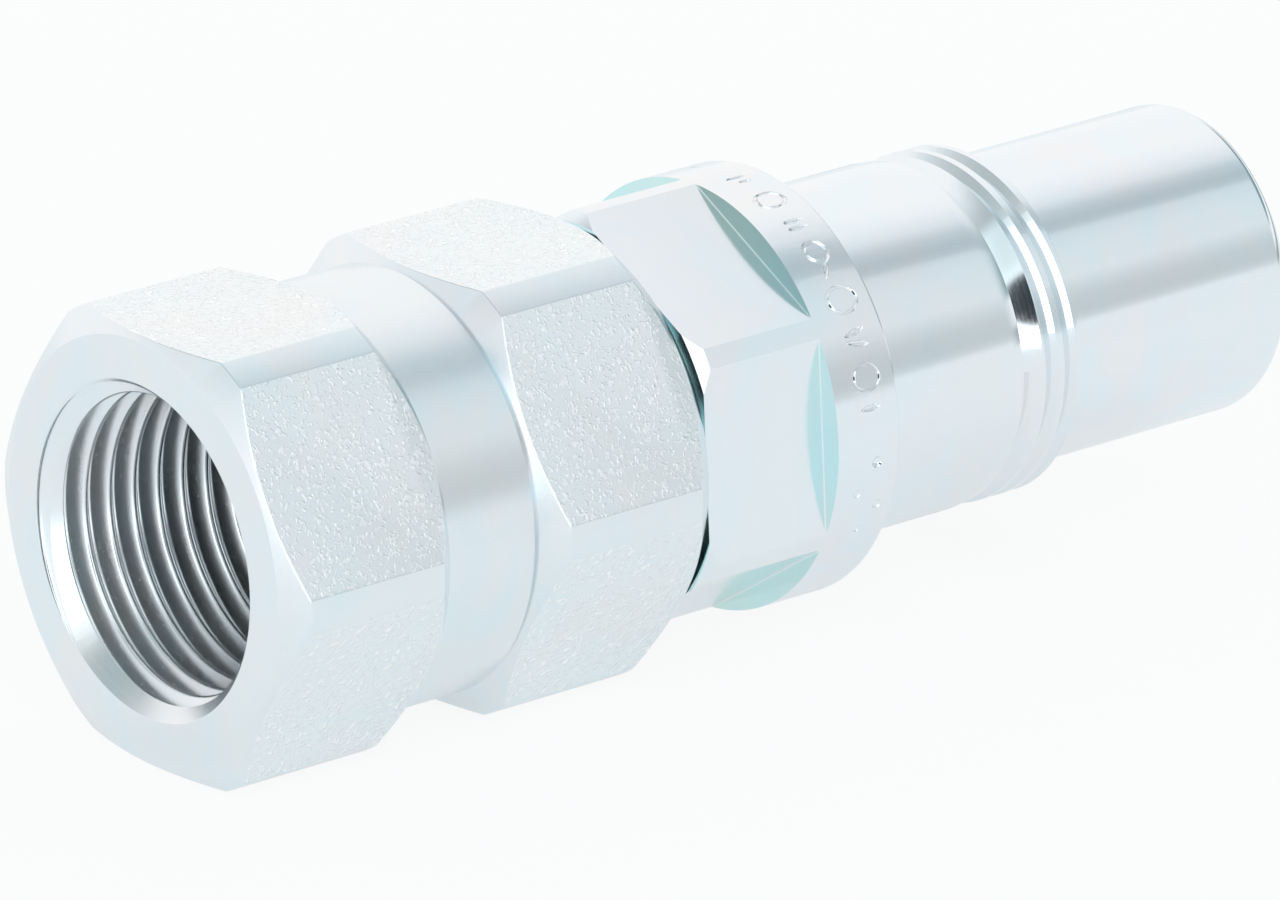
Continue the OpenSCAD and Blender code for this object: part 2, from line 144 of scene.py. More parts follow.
def edit(piece, selection="SELECT"):
    """Opens a piece in edit mode with all or nothing selected."""
    select_only(piece)
    bpy.ops.object.mode_set(mode="EDIT")
    bpy.ops.mesh.select_mode(type="VERT")
    bpy.ops.mesh.select_all(action=selection)


def close_edit():
    bpy.ops.object.mode_set(mode="OBJECT")


def draw_outline(name, points):
    """A closed outline of (place along the axis, radius) points in the XZ plane, drawn from one vertex."""
    bpy.ops.object.select_all(action="DESELECT")
    bpy.ops.mesh.primitive_plane_add(size=MM)
    piece = bpy.context.object
    piece.name = name
    edit(piece)
    bpy.ops.mesh.merge(type="CENTER")
    bpy.ops.transform.translate(value=(points[0][0], 0, points[0][1]))
    for before, after in zip(points, points[1:]):
        bpy.ops.mesh.extrude_region_move(
            TRANSFORM_OT_translate={"value": (after[0] - before[0], 0, after[1] - before[1])})
    bpy.ops.mesh.select_mode(type="VERT")
    bpy.ops.mesh.select_all(action="DESELECT")
    close_edit()
    for point in (points[0], points[-1]):
        corner = Vector((point[0], 0, point[1]))
        min(piece.data.vertices, key=lambda vertex: (vertex.co - corner).length).select = True
    bpy.ops.object.mode_set(mode="EDIT")
    bpy.ops.mesh.edge_face_add()
    close_edit()
    return piece


def modify(piece, kind, **settings):
    """Adds a modifier with its settings and applies it."""
    select_only(piece)
    modifier = piece.modifiers.new(kind.title(), kind)
    for key, value in settings.items():
        setattr(modifier, key, value)
    bpy.ops.object.modifier_apply(modifier=modifier.name)
    return piece


def turn(piece, steps, turns=1, pitch=0.0):
    """Turns an outline round the axis: a closed body, or a helix with a pitch whose ends are then capped."""
    select_only(piece)
    modify(piece, "SCREW", axis="X", steps=steps, render_steps=steps, angle=math.tau, iterations=turns,
           screw_offset=pitch, use_merge_vertices=pitch == 0, merge_threshold=1e-7,
           use_smooth_shade=False)
    edit(piece)
    if pitch:
        bpy.ops.mesh.select_all(action="DESELECT")
        bpy.ops.mesh.select_non_manifold(extend=False, use_wire=False, use_boundary=True,
                                         use_multi_face=False, use_non_contiguous=False, use_verts=False)
        bpy.ops.mesh.fill_holes(sides=0)
        bpy.ops.mesh.select_all(action="SELECT")
    bpy.ops.mesh.normals_make_consistent(inside=False)
    close_edit()
    return piece


def combine(piece, cutter, operation):
    """Cuts a piece with another one, which is then removed."""
    modify(piece, "BOOLEAN", operation=operation, solver="EXACT", object=cutter, material_mode="INDEX")
    bpy.data.objects.remove(cutter, do_unlink=True)
    return piece


def hexagon(across, from_x, to_x, turned=0.0, slot=1):
    """A hexagon bar along the axis with two flats level, before it is turned."""
    bpy.ops.object.select_all(action="DESELECT")
    bpy.ops.mesh.primitive_cylinder_add(vertices=6, radius=across / 2 / math.cos(math.pi / 6),
                                        depth=to_x - from_x, location=((from_x + to_x) / 2, 0, 0),
                                        rotation=(0, math.pi / 2, 0))
    piece = bpy.context.object
    bpy.ops.object.transform_apply(location=True, rotation=True, scale=True)
    piece.rotation_euler = (turned, 0, 0)
    bpy.ops.object.transform_apply(location=True, rotation=True, scale=True)
    for face in piece.data.polygons:
        face.material_index = slot
    return piece


def bar(radius, from_x, to_x, steps):
    """A round bar along the axis."""
    bpy.ops.object.select_all(action="DESELECT")
    bpy.ops.mesh.primitive_cylinder_add(vertices=steps, radius=radius, depth=to_x - from_x,
                                        location=((from_x + to_x) / 2, 0, 0), rotation=(0, math.pi / 2, 0))
    bpy.ops.object.transform_apply(location=True, rotation=True, scale=True)
    return bpy.context.object


def rounded(points, steps=6):
    """The same outline with each corner that has a radius as its third value rounded off."""
    result = []
    count = len(points)
    for index, point in enumerate(points):
        if len(point) < 3:
            result.append(point)
            continue
        here = Vector(point[:2])
        size = point[2]
        before = (Vector(points[index - 1][:2]) - here).normalized()
        after = (Vector(points[(index + 1) % count][:2]) - here).normalized()
        half = before.angle(after) / 2
        reach = size / math.tan(half)
        centre = here + (before + after).normalized() * (size / math.sin(half))
        start, end = here + before * reach - centre, here + after * reach - centre
        sweep = start.angle_signed(end)
        for step in range(steps + 1):
            angle = -sweep * step / steps
            cosine, sine = math.cos(angle), math.sin(angle)
            result.append((centre.x + start.x * cosine - start.y * sine,
                           centre.y + start.x * sine + start.y * cosine))
    return result


def place(piece, name, finishes, body, node, slot):
    """Puts a finished piece in the row frame, smooths it, and ties it to its body."""
    select_only(piece)
    piece.name = name
    piece.data.name = name
    piece.location = (PORT_FACE_X, 0, AXIS_Z)
    bpy.ops.object.transform_apply(location=True, rotation=True, scale=True)
    bpy.ops.object.shade_smooth_by_angle(angle=math.radians(14))
    for index, finish in enumerate(finishes):
        piece.data.materials[index] = finish
    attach(piece, body)
    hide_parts(node)
    return piece


def open_slots(piece, count):
    """Empty material slots, so that faces keep their numbers while they are cut."""
    for index in range(count):
        piece.data.materials.append(bpy.data.materials.new(f"slot_{index}"))


def soften(piece, width, chosen):
    """Breaks the sharp edges that are chosen by their middle."""
    edit(piece, "DESELECT")
    bpy.ops.mesh.select_mode(type="EDGE")
    bpy.ops.mesh.edges_select_sharp(sharpness=math.radians(20))
    close_edit()
    vertices = piece.data.vertices
    for edge in piece.data.edges:
        if edge.select and not chosen((vertices[edge.vertices[0]].co + vertices[edge.vertices[1]].co) / 2):
            edge.select = False
    bpy.ops.object.mode_set(mode="EDIT")
    bpy.ops.mesh.bevel(offset=width, segments=2, affect="EDGES", clamp_overlap=False)
    close_edit()


# ---- Shader helpers ----

class Value:
    """A number on a socket, which Python's own signs turn into Math nodes."""

    def __init__(self, finish, socket):
        self.finish = finish
        self.socket = socket

    def _math(self, operation, first, second=None):
        return self.finish.math(operation, first, second)

    def __add__(self, other):
        return self._math("ADD", self, other)

    __radd__ = __add__

    def __sub__(self, other):
        return self._math("SUBTRACT", self, other)

    def __rsub__(self, other):
        return self._math("SUBTRACT", other, self)

    def __mul__(self, other):
        return self._math("MULTIPLY", self, other)

    __rmul__ = __mul__

    def __truediv__(self, other):
        return self._math("DIVIDE", self, other)

    def __rtruediv__(self, other):
        return self._math("DIVIDE", other, self)


class Finish:
    """A node tree that is filled from Python expressions."""

    def __init__(self, tree):
        self.tree = tree
        tree.nodes.clear()

    def node(self, kind, settings=None, inputs=None):
        """Adds a node, sets it, and gives its sockets their values or links."""
        made = self.tree.nodes.new(kind)
        for key, value in (settings or {}).items():
            if key == "stops":
                stops = made.color_ramp.elements
                while len(stops) < len(value):
                    stops.new(0.5)
                for stop, (position, colour) in zip(stops, value):
                    stop.position = position
                    stop.color = (*colour, 1) if isinstance(colour, tuple) else (colour, colour, colour, 1)
            else:
                setattr(made, key, value)
        for key, value in (inputs or {}).items():
            self.feed(made.inputs[key], value)
        return made

    def feed(self, socket, value):
        """Links a socket, or sets it."""
        if isinstance(value, Value):
            self.tree.links.new(value.socket, socket)
        elif isinstance(value, bpy.types.NodeSocket):
            self.tree.links.new(value, socket)
        elif isinstance(value, (tuple, list)) and socket.type == "RGBA":
            socket.default_value = (*value[:3], 1)
        else:
            socket.default_value = value

    def math(self, operation, first, second=None):
        values = {0: first}
        if second is not None:
            values[1] = second
        return Value(self, self.node("ShaderNodeMath", {"operation": operation}, values).outputs[0])

    def step(self, value, low, high):
        """0 below low, 1 above high."""
        made = self.node("ShaderNodeMapRange", {"interpolation_type": "SMOOTHSTEP"},
                         {"Value": value, "From Min": low, "From Max": high})
        return Value(self, made.outputs[0])

    def blend(self, factor, first, second):
        """Between two colours."""
        return self.node("ShaderNodeMix", {"data_type": "RGBA"}, {0: factor, 6: first, 7: second}).outputs[2]

    def place(self):
        """The point on the piece, in metres from the port face and the axis."""
        point = self.node("ShaderNodeTexCoord").outputs["Object"]
        return self.node("ShaderNodeMapping", {}, {"Vector": point,
                                                   "Location": (-PORT_FACE_X, 0, -AXIS_Z)}).outputs[0]

    def split(self, vector):
        made = self.node("ShaderNodeSeparateXYZ", {}, {"Vector": vector})
        return [Value(self, socket) for socket in made.outputs]

    def join(self, x, y, z):
        return self.node("ShaderNodeCombineXYZ", {}, {"X": x, "Y": y, "Z": z}).outputs[0]

    def stretch(self, vector, x, y, z):
        made = self.node("ShaderNodeVectorMath", {"operation": "MULTIPLY"}, {0: vector, 1: (x, y, z)})
        return made.outputs[0]

    def noise(self, vector, scale, detail=2.0, roughness=0.5, distortion=0.0):
        made = self.node("ShaderNodeTexNoise", {}, {"Vector": vector, "Scale": scale, "Detail": detail,
                                                    "Roughness": roughness, "Distortion": distortion})
        return Value(self, made.outputs[0])

    def cells(self, vector, scale):
        made = self.node("ShaderNodeTexVoronoi", {"feature": "F1"}, {"Vector": vector, "Scale": scale})
        return Value(self, made.outputs["Distance"])

    def bump(self, height, distance):
        inputs = {"Height": height, "Distance": distance, "Strength": 1.0}
        return self.node("ShaderNodeBump", {}, inputs).outputs[0]

    def surface(self, **sockets):
        """The shader, with its sockets named with _ for spaces."""
        inputs = {key.replace("_", " "): value for key, value in sockets.items()}
        shader = self.node("ShaderNodeBsdfPrincipled", {}, inputs)
        self.node("ShaderNodeOutputMaterial", {}, {"Surface": shader.outputs[0]})


def finish(name):
    """A new material and its tree."""
    material = bpy.data.materials.new(name)
    material.use_nodes = True
    return material, Finish(material.node_tree)


def plate_tints(f, point, colour, amount=1.0):
    """The clear passivation's faint pink, cyan and yellow patches over a plate colour."""
    wide = f.noise(point, 95.0, 3.0, 0.55, 0.6)
    second = f.noise(f.stretch(point, 1.0, 1.3, 0.8), 160.0, 2.0, 0.5, 0.8)
    r, g, b = colour
    pink = (min(r * 1.03, 1), g * 0.955, b * 0.985)
    cyan = (r * 0.95, min(g * 1.005, 1), min(b * 1.02, 1))
    straw = (min(r * 1.03, 1), min(g * 1.01, 1), b * 0.95)
    base = f.blend(f.step(wide, 0.40, 0.72) * (0.8 * amount), (r, g, b), pink)
    base = f.blend(f.step(second, 0.40, 0.70) * (0.8 * amount), base, cyan)
    return f.blend(f.step(wide * 0.5 + (1 - second) * 0.5, 0.48, 0.66) * (0.6 * amount), base, straw)


def turned_plate(name, colour, line_depth, roughness):
    """Bright plate over a turned surface, with the tool's fine rings."""
    material, f = finish(name)
    point = f.place()
    rings = f.noise(f.stretch(point, 1.0, 0.02, 0.02), 9000.0, 2.0, 0.6)
    coarse = f.noise(f.stretch(point, 1.0, 0.015, 0.015), 2200.0, 1.0, 0.5)
    mottle = f.noise(point, 2600.0, 2.0, 0.6)
    specks = f.step(f.cells(point, 1500.0), 0.0, 0.12)
    height = rings * 0.5 + coarse * 0.5 + mottle * 0.25 + specks * 0.12
    base = plate_tints(f, point, colour)
    f.surface(Base_Color=base, Metallic=1.0, Roughness=rings * 0.10 + mottle * 0.08 + (roughness - 0.09),
              Normal=f.bump(height, line_depth))
    return material


def drawn_plate(name, colour, pit_depth, roughness):
    """Plate over the drawn flats of the bar, grainy with small pits, whose sparkle is partly a painted glint
    in the base colour.
    """
    material, f = finish(name)
    point = f.place()
    along = f.stretch(point, 0.6, 1.0, 1.0)
    grain = f.noise(along, 3000.0, 2.0, 0.6, 0.5)
    blobs = f.noise(f.stretch(point, 1.0, 0.8, 1.0), 3300.0, 1.0, 0.4, 0.9)
    groups = f.noise(point, 900.0, 2.0, 0.6)
    pits_and_glints = f.step(blobs + groups * 0.2, 0.64, 0.74)
    waves = f.noise(f.stretch(point, 0.3, 1.0, 1.0), 420.0, 2.0, 0.5)
    height = pits_and_glints * 1.0 + grain * 0.12 + waves * 0.5
    base = plate_tints(f, point, colour, 0.8)
    # Painted glint: the pits are made near white in the base colour; their bump and lower roughness are real.
    base = f.blend(pits_and_glints * 0.9, base, (0.98, 0.99, 0.99))
    f.surface(Base_Color=base, Metallic=1.0,
              Roughness=(1 - pits_and_glints) * 0.10 + grain * 0.08 + (roughness - 0.14),
              Normal=f.bump(height, pit_depth))
    return material


def plain_metal(name, colour, roughness, depth):
    """Machined metal with fine rings, for the parts inside."""
    material, f = finish(name)
    point = f.place()
    rings = f.noise(f.stretch(point, 1.0, 0.03, 0.03), 7000.0, 2.0, 0.6)
    mottle = f.noise(point, 1800.0, 3.0, 0.6)
    base = f.blend(f.step(mottle, 0.35, 0.7) * 0.5, colour, tuple(c * 0.86 for c in colour))
    f.surface(Base_Color=base, Metallic=1.0, Roughness=rings * 0.12 + (roughness - 0.06),
              Normal=f.bump(rings + mottle * 0.4, depth))
    return material


def soft_plastic(name, colour, roughness, depth):
    """Rubber or plastic with a fine moulded grain."""
    material, f = finish(name)
    point = f.place()
    grain = f.noise(point, 5200.0, 3.0, 0.6)
    dust = f.noise(point, 700.0, 3.0, 0.6)
    base = f.blend(f.step(dust, 0.45, 0.75) * 0.6, colour, tuple(min(c * 1.25 + 0.01, 1) for c in colour))
    f.surface(Base_Color=base, Roughness=grain * 0.2 + (roughness - 0.1), Normal=f.bump(grain, depth))
    return material


# ---- Pieces ----

class COUPLING_OT_port_body(bpy.types.Operator):
    """Model the port body: hexagon bar, turned ends and neck, and the threaded port"""

    bl_idname = "coupling.port_body"
    bl_label = "Port body"

    def execute(self, context):
        s = context.scene.coupling_sizes
        c = context.scene.coupling_colours
        front = math.tan(math.radians(30))
        relief, relief_w = 0.4 * MM, 0.15 * MM
        rise = front * relief
        mouth_l = s.mouth_r - s.core_r
        joint_bore, groove_r, thread_r, passage_r = 9.95 * MM, 11.46 * MM, 10.54 * MM, 7.5 * MM
        web, bottom = s.port_depth, 18.3 * MM
        groove_x, groove_end_x, thread_x = 19.1 * MM, 22.06 * MM, 22.96 * MM
        lead = 0.5 * MM
        outline = [
            (mouth_l, s.core_r),
            (0, s.mouth_r, 0.05 * MM),
            (0, s.face_r, 0.07 * MM),
            (front * (s.corner_r - s.face_r), s.corner_r, 0.1 * MM),
            (s.neck_x - (s.corner_r - s.neck_r), s.corner_r, 0.1 * MM),
            (s.neck_x, s.neck_r),
            (s.joint_hex_x - rise - relief_w, s.neck_r),
            (s.joint_hex_x - rise - relief_w, s.neck_r - relief),
            (s.joint_hex_x - rise, s.neck_r - relief),
            (s.joint_hex_x + front * (s.corner_r - s.neck_r), s.corner_r, 0.1 * MM),
            (s.joint_x - (s.corner_r - s.joint_face_r), s.corner_r, 0.1 * MM),
            (s.joint_x, s.joint_face_r, 0.07 * MM),
            (s.joint_x, thread_r + lead),
            (s.joint_x - lead, thread_r),
            (thread_x, thread_r),
            (thread_x - lead, joint_bore),
            (groove_end_x, joint_bore),
            (groove_end_x, groove_r),
            (groove_x, groove_r),
            (groove_x, joint_bore),
            (bottom, joint_bore),
            (bottom, passage_r),
            (web, passage_r),
            (web, s.core_r),
        ]
        body = draw_outline("port_body", rounded(outline))
        open_slots(body, 3)
        turn(body, s.rounds)
        combine(body, hexagon(s.hex_across, -1 * MM, s.joint_x + 1 * MM), "INTERSECT")
        soften(body, s.edge_r, lambda middle: middle.yz.length > s.neck_r + 0.05 * MM)
        # The pipe thread is cut as one groove, rounded at its bottom and at the crests beside it
        p = s.pipe_pitch
        radius = 0.1373 * p
        arc = [math.radians(a) for a in (62.5, 50, 37.5, 25, 12.5, 0)]
        crest = [(radius * math.sin(a), s.core_r + radius * (1 - math.cos(a))) for a in reversed(arc)]
        root = [(radius * math.sin(a), s.mouth_r - radius * (1 - math.cos(a))) for a in arc]
        right = root[::-1] + [(p / 2 - x, r) for x, r in reversed(crest)]
        half = right[:-1] + [(0.492 * p, s.core_r - 0.01 * MM), (0.492 * p, s.core_r - 0.4 * MM)]
        groove = [(-x, r) for x, r in reversed(half)] + half[1:]
        groove = [(x - 1.2 * MM, r) for x, r in groove]
        cutter = draw_outline("pipe_thread_cutter", groove)
        open_slots(cutter, 3)
        turn(cutter, 96, turns=8, pitch=p)
        for face in cutter.data.polygons:
            face.material_index = 2
        combine(body, cutter, "DIFFERENCE")
        finishes = [turned_plate("zinc_plate_turned", tuple(c.plate), 1.2e-6, 0.24),
                    drawn_plate("zinc_plate_drawn", tuple(c.flats), 22e-6, 0.22),
                    turned_plate("zinc_plate_tapped", tuple(c.plate), 1.6e-6, 0.25)]
        place(body, "port_body_piece", finishes, "coupling", "port_body", "zinc_plate")
        return {"FINISHED"}


class COUPLING_OT_nipple(bpy.types.Operator):
    """Model the nipple: hexagon, collar, barrel, coupling thread and nose, in one turned body"""

    bl_idname = "coupling.nipple"
    bl_label = "Nipple"

    def execute(self, context):
        s = context.scene.coupling_sizes
        c = context.scene.coupling_colours
        edge = [(s.nose_r - s.nose_edge_r * (1 - math.cos(math.radians(a))),
                 s.end_x - s.nose_edge_r * (1 - math.sin(math.radians(a)))) for a in range(0, 91, 9)]
        p = s.thread_pitch
        hex_x = s.joint_x + 0.3 * MM
        relief_r = s.barrel_r - 0.85 * MM
        outline = [
            (18.6 * MM, 8.6 * MM),
            (18.6 * MM, 9.4 * MM),
            (19.6 * MM, 9.9 * MM),
            (22.96 * MM, 9.9 * MM),
            (23.46 * MM, 10.48 * MM),
            (31.0 * MM, 10.48 * MM),
            (31.5 * MM, 9.95 * MM),
            (s.joint_x, 9.95 * MM),
            (s.joint_x, 11.8 * MM),
            (hex_x, 11.8 * MM),
            (hex_x, s.collar_r - 0.6 * MM, 0.05 * MM),
            (hex_x + 0.6 * MM, s.collar_r, 0.1 * MM),
            (s.collar_end_x - 0.3 * MM, s.collar_r, 0.1 * MM),
            (s.collar_end_x, s.collar_r - 0.3 * MM, 0.07 * MM),
            (s.collar_end_x, s.barrel_r),
            (57.9 * MM, s.barrel_r),
            (s.thread_x, s.barrel_r - 0.1 * MM, 0.04 * MM),
            (s.thread_x + 0.35 * MM, relief_r, 0.05 * MM),
            (s.thread_x + 0.40 * MM + (s.barrel_r - relief_r) / math.tan(math.radians(37)), s.barrel_r),
            (s.thread_x + 4.5 * MM, s.barrel_r, 0.05 * MM),
            (s.nose_x - 0.05 * MM, s.nose_r + 0.05 * MM),
            (s.nose_x, s.nose_r),
        ] + [(x, r) for r, x in edge] + [
            (s.end_x, 6.2 * MM, 0.05 * MM),
            (s.end_x - 6 * MM, 6.2 * MM),
            (s.end_x - 7.8 * MM, 8.0 * MM),
            (47.95 * MM, 8.0 * MM),
            (47.95 * MM, 8.6 * MM),
            (44.95 * MM, 8.6 * MM),
            (44.95 * MM, 9.15 * MM),
            (43.91 * MM, 9.15 * MM),
            (43.91 * MM, 8.6 * MM),
        ]
        body = draw_outline("nipple", rounded(outline))
        open_slots(body, 3)
        turn(body, s.rounds)
        # The flats are milled up to the shoulder
        sleeve = bar(20 * MM, hex_x - 0.2 * MM, s.shoulder_x, 64)
        combine(sleeve, hexagon(s.nipple_across, s.joint_x - 2 * MM, s.shoulder_x + 1 * MM, s.nipple_turn, 0),
                "DIFFERENCE")
        modify(sleeve, "BEVEL", width=0.09 * MM, segments=3, limit_method="ANGLE",
               angle_limit=math.radians(50))
        open_slots(sleeve, 3)
        # Faces that form the shoulder take slot 2, the teal shoulder tint, which is a painted reflection.
        for face in sleeve.data.polygons:
            face.material_index = 2 if face.normal.x > 0.9 else 1
        combine(body, sleeve, "DIFFERENCE")
        # The shoulder faces left on the body also take slot 2, the teal tint that paints a reflection.
        for face in body.data.polygons:
            if face.normal.x < -0.99 and face.center.x < s.shoulder_x and face.center.yz.length > 11.8 * MM:
                face.material_index = 2
        # The coupling thread is one helical groove, steep towards the barrel, that runs into the relief
        depth, steep, slow = 0.78 * MM, 0.35 * MM, 0.62 * MM
        start = s.thread_x + 0.62 * MM
        groove = [
            (-0.02 * MM - steep, s.barrel_r + 0.2 * MM),
            (-0.02 * MM - steep, s.barrel_r),
            (-0.02 * MM, s.barrel_r - depth),
            (0.02 * MM, s.barrel_r - depth),
            (0.02 * MM + slow, s.barrel_r),
            (0.02 * MM + slow, s.barrel_r + 0.2 * MM),
        ]
        cutter = draw_outline("coupling_thread_cutter", [(x + start, r) for x, r in groove])
        turn(cutter, 96, turns=4, pitch=p)
        cutter.rotation_euler = (math.radians(88), 0, 0)
        select_only(cutter)
        bpy.ops.object.transform_apply(location=True, rotation=True, scale=True)
        combine(body, cutter, "DIFFERENCE")
        for stamp in self.marks(s):
            combine(body, stamp, "DIFFERENCE")
        # The third finish, on the shoulder, is tinted teal as a painted reflection.
        finishes = [turned_plate("nipple_plate_turned", tuple(c.nipple), 0.6e-6, 0.12),
                    turned_plate("nipple_plate_milled", tuple(c.nipple), 0.6e-6, 0.16),
                    turned_plate("nipple_plate_shoulder_painted_reflection", tuple(c.shoulder), 0.6e-6, 0.12)]
        place(body, "nipple_piece", finishes, "coupling", "nipple", "nipple_plate")
        return {"FINISHED"}

    def marks(self, s):
        """Cutters for punched rings and dashes round the collar, and for a few small dents."""
        x = (s.shoulder_x + s.collar_end_x) / 2 + 0.15 * MM
        r = s.collar_r
        stamps = []

        def ring(angle, width, height, line=0.17):
            bpy.ops.mesh.primitive_torus_add(major_segments=40, minor_segments=10,
                                             major_radius=height / 2 * MM, minor_radius=line * MM,
                                             location=(x, 0, r + 0.03 * MM))
            bpy.context.object.scale = (1, width / height, 1)
            stamps.append((bpy.context.object, angle))

        def dash(angle, reach, across=0.0, offset=0.0):
            bpy.ops.mesh.primitive_uv_sphere_add(segments=20, ring_count=10, radius=1 * MM,
                                                 location=(x + offset * MM, 0, r + 0.02 * MM),
                                                 rotation=(0, 0, math.radians(across)))
            bpy.context.object.scale = (reach / 2, 0.2, 0.17)
            stamps.append((bpy.context.object, angle))

        def dent(angle, place, size):
            bpy.ops.mesh.primitive_uv_sphere_add(segments=20, ring_count=10, radius=size * MM,
                                                 location=(place, 0, r + size * 0.62 * MM))
            stamps.append((bpy.context.object, angle))

        bpy.ops.object.select_all(action="DESELECT")
        dash(2, 1.6)
        dash(5, 1.0, 0, 0.1)
        ring(16, 1.5, 2.0)
        dash(25.5, 1.5)
        dash(28, 1.5)
        ring(36.5, 1.5, 1.5, 0.2)
        dash(42, 1.5, 60)
        ring(51, 1.7, 2.1)
        dash(60, 1.7, 12)
        dash(63, 1.7, -12)
        ring(72, 1.6, 1.9, 0.15)
        dash(80, 1.5)
        for angle, offset, size in ((95, 0.4, 0.5), (103, -0.9, 0.38), (108, 0.9, 0.42), (115, -0.2, 0.34),
                                    (-16, 0.3, 0.4)):
            dent(angle, x + offset * MM, size)
        for stamp, angle in stamps:
            select_only(stamp)
            bpy.ops.object.transform_apply(location=True, rotation=True, scale=True)
            stamp.rotation_euler = (math.radians(angle), 0, 0)
            bpy.ops.object.transform_apply(location=True, rotation=True, scale=True)
        return [stamp for stamp, angle in stamps]


class COUPLING_OT_valve_spring(bpy.types.Operator):
    """Model the valve spring with closed ends"""

    bl_idname = "coupling.valve_spring"
    bl_label = "Valve spring"

    def execute(self, context):
        c = context.scene.coupling_colours
        low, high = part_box("valve_spring")
        wire = 0.6 * MM
        mean = (high[2] - low[2]) / 2 - wire
        first, last = low[0] - PORT_FACE_X + wire, high[0] - PORT_FACE_X - wire
        closed = 1.22 * MM
        middle = 5
        sides = 20
        pitch = (last - first - 2 * closed) / middle
        section = [(math.cos(math.tau * i / sides) * wire, math.sin(math.tau * i / sides) * wire)
                   for i in range(sides)]
        coils = []
        for start, turns, rise in ((first, 1, closed), (first + closed, middle, pitch),
                                   (last - closed, 1, closed)):
            coil = draw_outline("spring_coil", [(start + x, mean + r) for x, r in section])
            coils.append(turn(coil, 64, turns=turns, pitch=rise))
        spring = coils[0]
        select_only(spring)
        for coil in coils:
            coil.select_set(True)
        bpy.ops.object.join()
        edit(spring)
        bpy.ops.mesh.remove_doubles(threshold=1e-6)
        bpy.ops.mesh.select_all(action="DESELECT")
        bpy.ops.mesh.select_mode(type="FACE")
        bpy.ops.mesh.select_interior_faces()
        bpy.ops.mesh.delete(type="FACE")
        bpy.ops.mesh.select_all(action="SELECT")
        bpy.ops.mesh.normals_make_consistent(inside=False)
        close_edit()
        open_slots(spring, 1)
        place(spring, "valve_spring_piece", [plain_metal("spring_steel", tuple(c.spring), 0.3, 1e-6)],
              "coupling", "valve_spring", "spring_steel")
        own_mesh(spring)
        return {"FINISHED"}


class COUPLING_OT_inner_finishes(bpy.types.Operator):
    """Finish the valve, the guide, the seals and the small parts inside"""

    bl_idname = "coupling.inner_finishes"
    bl_label = "Finishes of the parts inside"

    def execute(self, context):
        c = context.scene.coupling_colours
        steel = plain_metal("inner_steel", tuple(c.steel), 0.3, 1e-6)
        valve = plain_metal("valve_steel", tuple(c.valve), 0.2, 0.6e-6)
        ring = plain_metal("ring_steel", tuple(c.spring), 0.34, 1e-6)
        bronze = plain_metal("bush_bronze", tuple(c.bronze), 0.42, 2e-6)
        rubber = soft_plastic("seal_rubber", tuple(c.rubber), 0.5, 2e-6)
        ptfe = soft_plastic("backup_plastic", tuple(c.ptfe), 0.42, 1e-6)
        nylon = soft_plastic("insert_nylon", tuple(c.nylon), 0.4, 1e-6)
        finishes = {
            "valve_guide": steel, "spring_seat": steel, "stop_washer": steel, "lock_nut": steel,
            "valve_stem": valve, "valve_cap": valve, "guide_retaining_ring": ring, "guide_bush": bronze,
            "joint_o_ring": rubber, "valve_seal": rubber,
            "joint_backup_ring": ptfe, "valve_backup_ring": ptfe,
            "nut_insert": nylon, "port_body": steel, "nipple": steel, "valve_spring": ring,
        }
        for name, material in finishes.items():
            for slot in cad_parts[name].material_slots:
                slot.material = material
        return {"FINISHED"}


